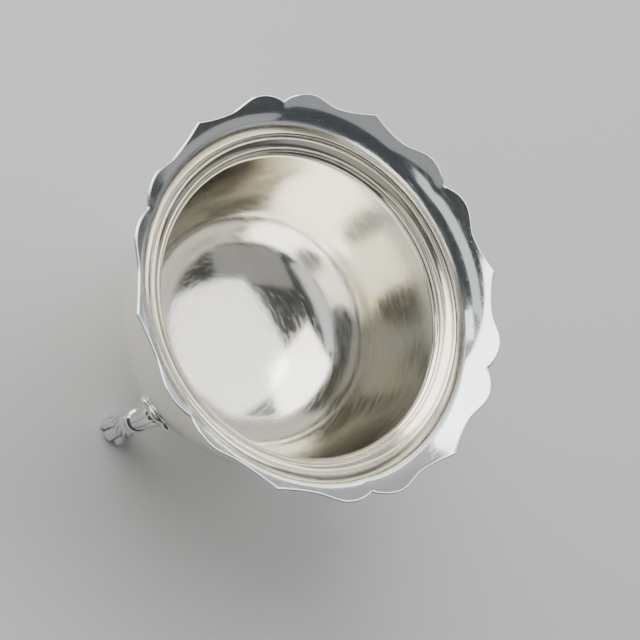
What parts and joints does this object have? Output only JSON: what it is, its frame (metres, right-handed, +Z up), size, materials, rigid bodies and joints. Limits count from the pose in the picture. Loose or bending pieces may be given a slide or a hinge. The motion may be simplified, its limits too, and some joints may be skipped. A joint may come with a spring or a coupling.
{
  "type": "footed sugar or cream bowl",
  "caption": "Small round silver bowl with a six-lobed pointed border turned outward, a reeded wire at the neck and short paw feet on shell plates.",
  "frame": {"origin": "on the bowl's axis, in the plane of the three soles", "axes": "+Z up along the bowl's axis, -Y towards foot 1, +X and -X each towards a point of the border"},
  "size_m": [0.1092, 0.108, 0.085],
  "materials": {
    "bowl_silver": "hand-polished silver, mirror bright with fine rub marks",
    "border_silver": "polished silver, slightly dulled by rubbing",
    "foot_silver": "cast silver, polished on the raised parts"
  },
  "bodies": {
    "root": {"bowl_body": "bowl_silver", "rim_border": "border_silver", "neck_wire": "border_silver", "shell_plate_1": "foot_silver", "leg_1": "foot_silver", "paw_1": "foot_silver", "shell_plate_2": "foot_silver", "leg_2": "foot_silver", "paw_2": "foot_silver", "shell_plate_3": "foot_silver", "leg_3": "foot_silver", "paw_3": "foot_silver"}
  },
  "joints": []
}
